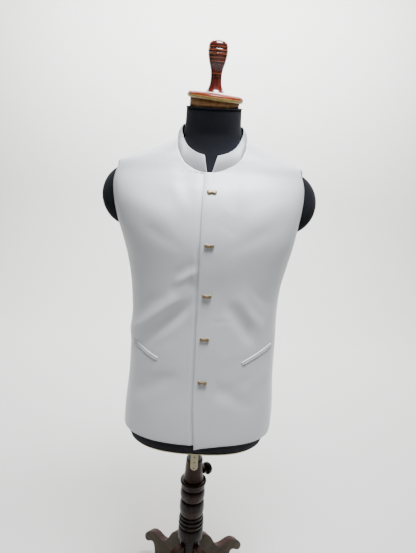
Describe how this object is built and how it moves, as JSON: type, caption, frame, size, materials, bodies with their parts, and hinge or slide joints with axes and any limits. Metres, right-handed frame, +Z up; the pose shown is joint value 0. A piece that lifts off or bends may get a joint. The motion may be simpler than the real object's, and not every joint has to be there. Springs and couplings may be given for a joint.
{
  "type": "sleeveless bandhgala jacket on a dress form with a stand",
  "caption": "Sleeveless stand-collar bandhgala jacket with bar buttons and welt pockets, worn on a limbless dress form on a turned wooden stand.",
  "frame": {"origin": "on the floor, at the centre of the part's box, on the stand's axis", "axes": "+Z up, the jacket's front faces -Y, its wearer's left is +X"},
  "size_m": [0.516, 0.3212, 1.4569],
  "materials": {
    "suiting": "off-white satin-weave suiting with a soft sheen",
    "antique_gold": "antique gold, satin",
    "jersey": "matt knitted jersey",
    "raw_wood": "sanded, unfinished",
    "red_lacquer": "red-brown lacquer, gloss",
    "steel": "dark satin steel",
    "cream_paint": "cream paint, worn",
    "dark_wood": "dark brown lacquer, satin"
  },
  "bodies": {
    "stand": {"hub": "dark_wood", "column": "dark_wood", "column_ring": "dark_wood", "socket_collar": "dark_wood", "leg_1": "dark_wood", "leg_2": "dark_wood", "leg_3": "dark_wood", "leg_4": "dark_wood"},
    "post": {"height_post": "steel"},
    "form": {"form_body": "jersey", "form_base_board": "raw_wood", "perforated_strap": "cream_paint", "neck_plug": "raw_wood", "neck_cap_disc": "red_lacquer", "finial": "red_lacquer", "front_right": "suiting", "front_left": "suiting", "back": "suiting", "collar": "suiting", "pocket_welt_upper_right": "suiting", "pocket_welt_lower_right": "suiting", "pocket_welt_upper_left": "suiting", "pocket_welt_lower_left": "suiting", "button_1": "antique_gold", "button_2": "antique_gold", "button_3": "antique_gold", "button_4": "antique_gold", "button_5": "antique_gold"},
    "knob": {"clamp_knob": "dark_wood"}
  },
  "joints": [
    {"name": "height_slide", "type": "slide", "parent": "stand", "child": "post", "axis": [0, 0, 1], "range_m": [0, 0.12]},
    {"name": "form_turn", "type": "hinge", "parent": "post", "child": "form", "pos_m": [0, 0, 0.5], "axis": [0, 0, 1], "continuous": true},
    {"name": "knob_turn", "type": "hinge", "parent": "stand", "child": "knob", "pos_m": [0.03064, 0.02571, 0.379], "axis": [0.766, 0.6428, 0], "continuous": true}
  ]
}
